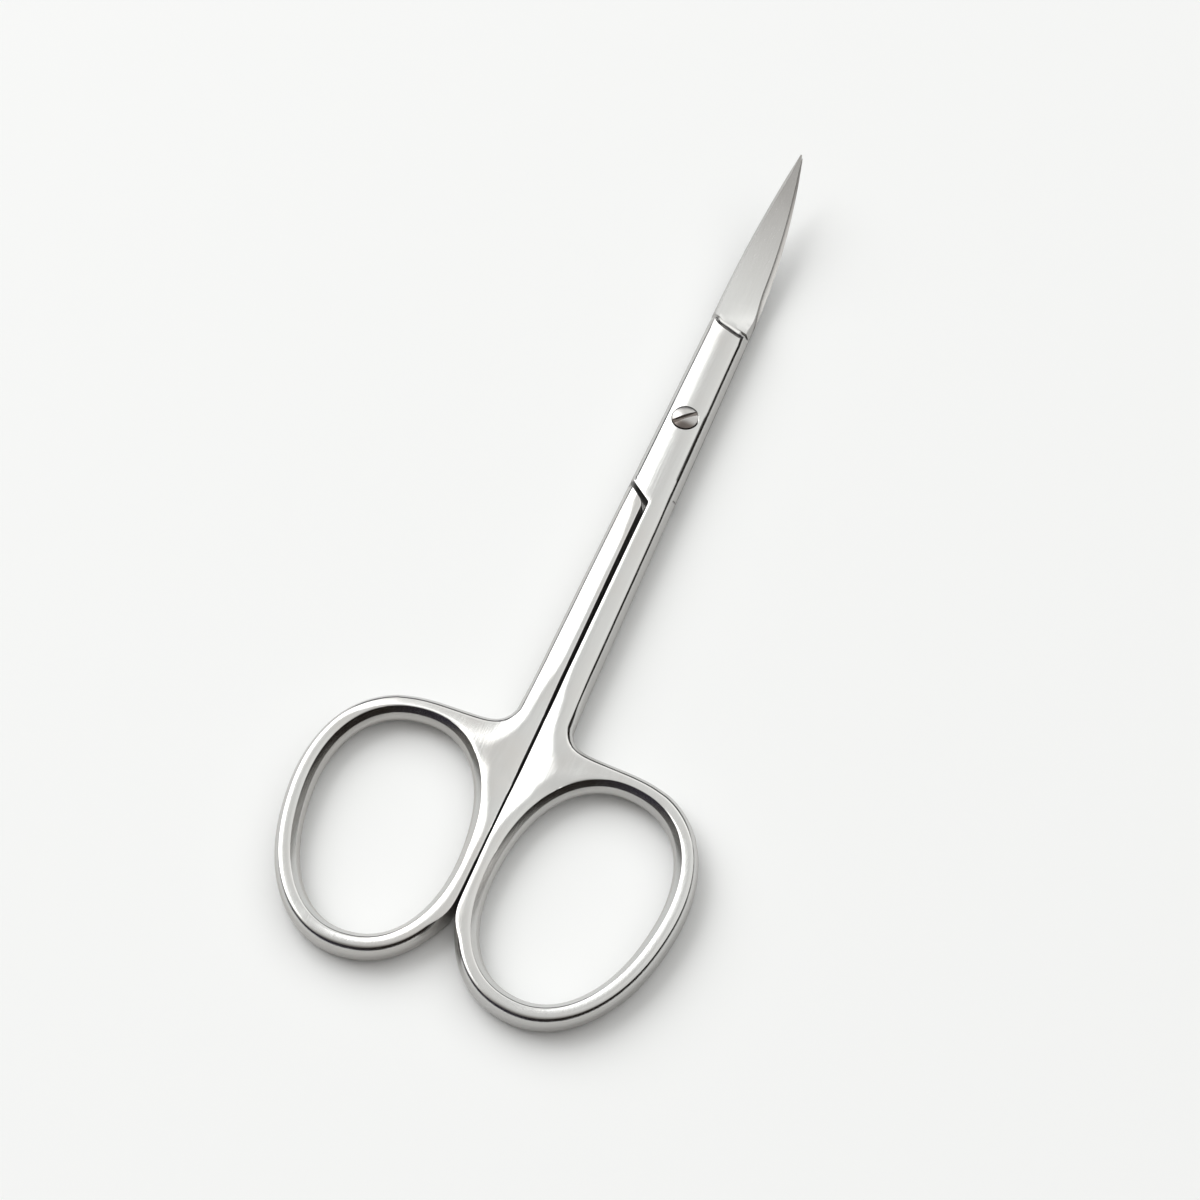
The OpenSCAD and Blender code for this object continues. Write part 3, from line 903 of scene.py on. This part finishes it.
def slot_cutter():
    over = 1
    bottom = THICK + RIM_RISE + DOME_H - SLOT_DEPTH
    turn = Matrix.Rotation(math.radians(SLOT_TURN), 3, "Z")
    bm = bmesh.new()
    bmesh.ops.create_cube(bm, size=1)
    bmesh.ops.scale(bm, vec=(2 * HEAD_D, SLOT_W, SLOT_DEPTH + over), verts=bm.verts)
    bmesh.ops.translate(bm, vec=(0, 0, bottom + (SLOT_DEPTH + over) / 2), verts=bm.verts)
    bmesh.ops.rotate(bm, cent=(0, 0, 0), matrix=turn, verts=bm.verts)
    return to_object(bm, "slot")


def pivot_screw():
    bm = bmesh.new()
    chain = start_chain(bm, [Vector((r, 0, z)) for r, z in screw_outline()])
    bmesh.ops.spin(bm, geom=chain + bm.edges[:], cent=(0, 0, 0), axis=(0, 0, 1), angle=math.tau,
                   steps=ROUND_SIDES, use_merge=True, use_duplicate=False)
    bmesh.ops.remove_doubles(bm, verts=bm.verts, dist=SLIVER)
    bmesh.ops.recalc_face_normals(bm, faces=bm.faces)
    obj = to_object(bm, "screw")
    cut(obj, slot_cutter())
    smooth_shade(obj, SCREW_SHARP)
    return obj


# Shader nodes
def node(tree, kind, links=None, **settings):
    """A node with its settings, and its inputs set to values or joined to sockets."""
    made = tree.nodes.new(kind)
    for key, value in settings.items():
        setattr(made, key, value)
    for key, value in (links or {}).items():
        if isinstance(value, bpy.types.NodeSocket):
            tree.links.new(value, made.inputs[key])
        else:
            made.inputs[key].default_value = value
    return made


def output_node(tree, kind, socket):
    out = node(tree, kind)
    tree.links.new(socket, out.inputs["Surface"])


def range_node(tree, value, low, high, to_low=0.0, to_high=1.0, kind="LINEAR"):
    return node(tree, "ShaderNodeMapRange", {
        "Value": value, "From Min": low, "From Max": high, "To Min": to_low, "To Max": to_high},
        interpolation_type=kind).outputs["Result"]


def math_node(tree, operation, *values):
    made = node(tree, "ShaderNodeMath", dict(enumerate(values)), operation=operation)
    return made.outputs["Value"]


def ramp_node(tree, value, stops):
    made = node(tree, "ShaderNodeValToRGB", {"Fac": value})
    while len(made.color_ramp.elements) < len(stops):
        made.color_ramp.elements.new(0.5)
    for element, (position, colour) in zip(made.color_ramp.elements, stops):
        element.position, element.color = position, (*colour, 1)
    return made.outputs["Color"]


def mix_colours(tree, factor, a, b, blend="MIX"):
    values = {"Factor": factor}
    for key, colour in (("A", a), ("B", b)):
        values[key] = (*colour, 1) if isinstance(colour, tuple) else colour
    return node(tree, "ShaderNodeMix", values, data_type="RGBA", blend_type=blend).outputs["Result"]


def attribute_node(tree, name):
    return node(tree, "ShaderNodeAttribute", attribute_name=name).outputs["Fac"]


def axes_of(tree, socket):
    parts = node(tree, "ShaderNodeSeparateXYZ", {0: socket})
    return [parts.outputs[axis] for axis in "XYZ"]


def shade(colour, f):
    return tuple(c * f for c in colour)


def grey(level):
    return level, level, level


# Steel
GRAIN_STRETCH = (260.0, 9000.0, 5200.0)
STREAK_STRETCH = (90.0, 1500.0, 1100.0)
STAIN_SCALE = 170.0
STREAK_SHARE = 0.35
BUMP_STRENGTH, BUMP_HEIGHT = 0.3, 0.02 * MM
# the parts of the grain and stain values that count for tone and for sheen
STREAKS, SPOTS, SHEEN = (0.3, 0.7), (0.42, 0.75), (0.25, 0.75)
STEEL_TONE = (0.605, 0.605, 0.595)
UPPER_WARM, LOWER_WARM = (0.575, 0.565, 0.55), (0.575, 0.56, 0.54)
# the screw's second tone is painted shade, for its side away from the blades and its slot
SCREW_TONE, SCREW_SHADE = (0.46, 0.45, 0.44), (0.12, 0.1, 0.088)


def stretched_noise(tree, place, stretch, detail, roughness):
    stretched = node(tree, "ShaderNodeVectorMath", {0: place, 1: stretch}, operation="MULTIPLY")
    return node(tree, "ShaderNodeTexNoise", {
        "Vector": stretched.outputs["Vector"], "Scale": 1.0, "Detail": detail,
        "Roughness": roughness}).outputs["Fac"]


def satin_grain():
    """A group with the fine polishing lines and soft stains of hand finished steel."""
    group = bpy.data.node_groups.new("satin_grain", "ShaderNodeTree")
    for label, value in (("Lines", 1.0), ("Turn", 0.0)):
        socket = group.interface.new_socket(label, in_out="INPUT", socket_type="NodeSocketFloat")
        socket.default_value = value
    for label in ("Grain", "Stain", "Height"):
        group.interface.new_socket(label, in_out="OUTPUT", socket_type="NodeSocketFloat")
    given = group.nodes.new("NodeGroupInput")
    place = node(group, "ShaderNodeTexCoord").outputs["Object"]
    turned = node(group, "ShaderNodeVectorRotate", {
        "Vector": place, "Angle": given.outputs["Turn"]}, rotation_type="Z_AXIS").outputs["Vector"]
    fine = stretched_noise(group, turned, GRAIN_STRETCH, 4.0, 0.62)
    broad = stretched_noise(group, turned, STREAK_STRETCH, 2.0, 0.5)
    both = node(group, "ShaderNodeMix", {
        "Factor": STREAK_SHARE, "A": fine, "B": broad}, data_type="FLOAT").outputs["Result"]
    stain = node(group, "ShaderNodeTexNoise", {
        "Vector": place, "Scale": STAIN_SCALE, "Detail": 3.0, "Roughness": 0.55}).outputs["Fac"]
    height = math_node(group, "MULTIPLY", both, given.outputs["Lines"])
    result = group.nodes.new("NodeGroupOutput")
    for label, socket in (("Grain", both), ("Stain", stain), ("Height", height)):
        group.links.new(socket, result.inputs[label])
    return group


def new_metal(name, grain, lines, turn):
    """A material with the grain laid into it, at a turn and with lines of a given height."""
    material = bpy.data.materials.new(name)
    material.use_nodes = True
    tree = material.node_tree
    tree.nodes.clear()
    lay = node(tree, "ShaderNodeGroup", node_tree=grain)
    lay.inputs["Lines"].default_value = lines
    lay.inputs["Turn"].default_value = math.radians(turn)
    return material, tree, lay.outputs


def finish_metal(tree, colour, roughness, height):
    bump = node(tree, "ShaderNodeBump", {
        "Height": height, "Strength": BUMP_STRENGTH, "Distance": BUMP_HEIGHT})
    shader = node(tree, "ShaderNodeBsdfPrincipled", {
        "Base Color": colour, "Metallic": 1.0, "Roughness": roughness,
        "Normal": bump.outputs["Normal"]})
    output_node(tree, "ShaderNodeOutputMaterial", shader.outputs["BSDF"])


def half_steel(name, grain, tone, warm, rough):
    """Satin steel of a half: polished faces, duller walls, a ground blade; painted shade darkens
    walls, joint and tip.
    """
    material, tree, lay = new_metal(name, grain, 1.0, 0)
    side, inner, ground = (attribute_node(tree, mark) for mark in ("side", "inner", "ground"))
    streak = range_node(tree, lay["Grain"], *STREAKS)
    spots = range_node(tree, lay["Stain"], *SPOTS)
    face = mix_colours(tree, streak, shade(tone, 0.93), tone)
    face = mix_colours(tree, spots, face, warm)
    # painted shade: the blade darkens towards its tip, where it bends up
    tip_shade = range_node(tree, ground, 0.1, 0.8)
    blade = mix_colours(tree, tip_shade, shade(tone, 0.98), shade(warm, 0.8))
    blade = mix_colours(tree, 0.12, blade, lay["Grain"], "OVERLAY")
    on_blade = range_node(tree, ground, 0.0, 0.02)
    colour = mix_colours(tree, on_blade, face, blade)
    # painted shade on the walls and on the blades' mating faces
    colour = mix_colours(tree, side, colour, shade(warm, 0.87))
    # painted shade in the slit at the shoulder and on the joint's mating flats
    colour = mix_colours(tree, inner, colour, shade(warm, 0.2))
    sheen = range_node(tree, lay["Grain"], *SHEEN, rough * 0.8, rough * 1.25)
    dull = math_node(tree, "MULTIPLY_ADD", side, 0.2, sheen)
    satin = math_node(tree, "MULTIPLY_ADD", on_blade, 0.1, dull)
    finish_metal(tree, colour, satin, lay["Height"])
    return material


def turned_steel(name, grain, tone, shade_tone, rough):
    """Turned steel of the screw, with painted shade on the side away from the blades and down in its
    slot.
    """
    material, tree, lay = new_metal(name, grain, 1.4, SLOT_TURN)
    x, _, z = axes_of(tree, node(tree, "ShaderNodeTexCoord").outputs["Object"])
    streak = range_node(tree, lay["Grain"], *STREAKS)
    face = mix_colours(tree, streak, shade(tone, 0.9), tone)
    # painted shade on the side away from the blades
    near_side_shade = range_node(tree, x, -0.1 * MM, -0.9 * MM, 0.0, 0.9, "SMOOTHSTEP")
    colour = mix_colours(tree, near_side_shade, face, shade_tone)
    # painted shade down in the slot
    slot = range_node(tree, z, (THICK + 0.09) * MM, (THICK + 0.03) * MM, 0.0, 0.85)
    colour = mix_colours(tree, slot, colour, shade_tone)
    sheen = range_node(tree, lay["Grain"], *SHEEN, rough * 0.8, rough * 1.3)
    finish_metal(tree, colour, sheen, lay["Height"])
    return material


# Studio, in metres
FLOOR_TONE, FLOOR_R, FLOOR_DROP = (0.94, 0.952, 0.952), 3.0, 0.00002
SEEN_TONE = (0.92, 0.93, 0.93)
FOOT_RIGHT, FOOT_LEFT = (0.022, 0.018, 0.015), (0.04, 0.037, 0.052)
TENT_LEVEL = 0.95
KEY_WAY = (0.285, 0.69, 0.665)
LIT = (-0.01, 0, 0)
CAMERA_TURN, CAMERA_TILT, CAMERA_WIDE = 67.56, 28.87, 25.56
CAMERA_AIM, CAMERA_FAR = (-0.0219, 0.0006, 0), 0.27


def floor():
    bm = bmesh.new()
    bmesh.ops.create_circle(bm, cap_ends=True, segments=ROUND_SIDES, radius=FLOOR_R)
    bmesh.ops.translate(bm, vec=(0, 0, -FLOOR_DROP), verts=bm.verts)
    mesh = bpy.data.meshes.new("floor")
    bm.to_mesh(mesh)
    bm.free()
    obj = link("floor", mesh)
    material = bpy.data.materials.new("floor_paper")
    material.use_nodes = True
    tree = material.node_tree
    tree.nodes.clear()
    paper = node(tree, "ShaderNodeBsdfDiffuse", {"Color": (*FLOOR_TONE, 1)})
    output_node(tree, "ShaderNodeOutputMaterial", paper.outputs["BSDF"])
    mesh.materials.append(material)


def tent_colour(tree, x, y, sky):
    """Dark foot below, and above it a cloth that is dimmer over the camera's side."""
    cloth = ramp_node(tree, range_node(tree, x, -0.7, 0.5), (
        (0.0, (0.18, 0.165, 0.155)), (0.25, (0.36, 0.345, 0.33)), (0.5, (0.72, 0.715, 0.7)),
        (0.85, (1.0, 1.0, 0.985))))
    foot = mix_colours(tree, range_node(tree, y, -0.5, 0.5), FOOT_RIGHT, FOOT_LEFT)
    return mix_colours(tree, sky, foot, cloth)


def tent_strength(tree, x, y, sky):
    """Brighter patches of the cloth: some on the right, more on the left and at the far end."""
    left = ramp_node(tree, range_node(tree, y, -1.0, 1.0), (
        (0.0, grey(0.2)), (0.44, grey(0.2)), (0.56, grey(0.0)), (0.66, grey(0.0)),
        (0.74, grey(0.75))))
    far = range_node(tree, x, 0.6, 0.8, 0.0, 0.7)
    more = math_node(tree, "ADD", left, far)
    return math_node(tree, "MULTIPLY_ADD", more, sky, TENT_LEVEL)


def studio_world():
    """A light tent round the object, and a plain pale tone where the camera looks past it."""
    world = bpy.data.worlds.new("studio")
    bpy.context.scene.world = world
    world.use_nodes = True
    tree = world.node_tree
    tree.nodes.clear()
    x, y, z = axes_of(tree, node(tree, "ShaderNodeTexCoord").outputs["Generated"])
    sky = ramp_node(tree, z, (
        (0.0, grey(0.0)), (0.4, grey(0.0)), (0.48, grey(0.6)), (0.56, grey(1.0))))
    seen_straight = node(tree, "ShaderNodeLightPath").outputs["Is Camera Ray"]
    colour = mix_colours(tree, seen_straight, tent_colour(tree, x, y, sky), SEEN_TONE)
    back = node(tree, "ShaderNodeBackground", {
        "Color": colour, "Strength": tent_strength(tree, x, y, sky)})
    output_node(tree, "ShaderNodeOutputWorld", back.outputs["Background"])


def soft_light(name, way, distance, size, radiance):
    """A square soft box that shines on the object from one direction."""
    lamp = bpy.data.lights.new(name, "AREA")
    lamp.shape, lamp.size = "SQUARE", size
    lamp.energy = radiance * math.pi * size * size
    way = Vector(way).normalized()
    obj = link(name, lamp)
    obj.location = Vector(LIT) + way * distance
    obj.rotation_euler = way.to_track_quat("Z", "Y").to_euler()


def camera():
    """The photograph's view: turned about the vertical and tilted off it."""
    turn, tilt = math.radians(CAMERA_TURN), math.radians(CAMERA_TILT)
    away = Vector((math.sin(turn), math.cos(turn), 0))
    right = Vector((math.cos(turn), -math.sin(turn), 0))
    forward = away * math.sin(tilt) - Vector((0, 0, 1)) * math.cos(tilt)
    up = right.cross(forward)
    data = bpy.data.cameras.new("camera")
    data.angle = math.radians(CAMERA_WIDE)
    data.clip_start, data.clip_end = 0.01, 20
    obj = link("camera", data)
    eye = Vector(CAMERA_AIM) - forward * CAMERA_FAR
    obj.matrix_world = Matrix((
        (right.x, up.x, -forward.x, eye.x), (right.y, up.y, -forward.y, eye.y),
        (right.z, up.z, -forward.z, eye.z), (0, 0, 0, 1)))
    bpy.context.scene.camera = obj


# Putting it together
camera()
studio_world()
floor()
soft_light("key", KEY_WAY, distance=2.0, size=1.77, radiance=2.15)

grain = satin_grain()
upper_steel = half_steel("upper_steel", grain, STEEL_TONE, UPPER_WARM, 0.15)
lower_steel = half_steel("lower_steel", grain, STEEL_TONE, LOWER_WARM, 0.15)
screw_steel = turned_steel("screw_steel", grain, SCREW_TONE, SCREW_SHADE, 0.22)

upper = half("upper_steel_half", False)
upper.data.materials.append(upper_steel)
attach(upper, "upper")
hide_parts("upper_half")

lower = half("lower_steel_half", True)
lower.data.materials.append(lower_steel)
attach(lower, "lower")
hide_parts("lower_half")

screw = pivot_screw()
screw.data.materials.append(screw_steel)
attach(screw, "lower")
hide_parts("pivot_screw")

sc = bpy.context.scene
sc.view_settings.view_transform = "Standard"
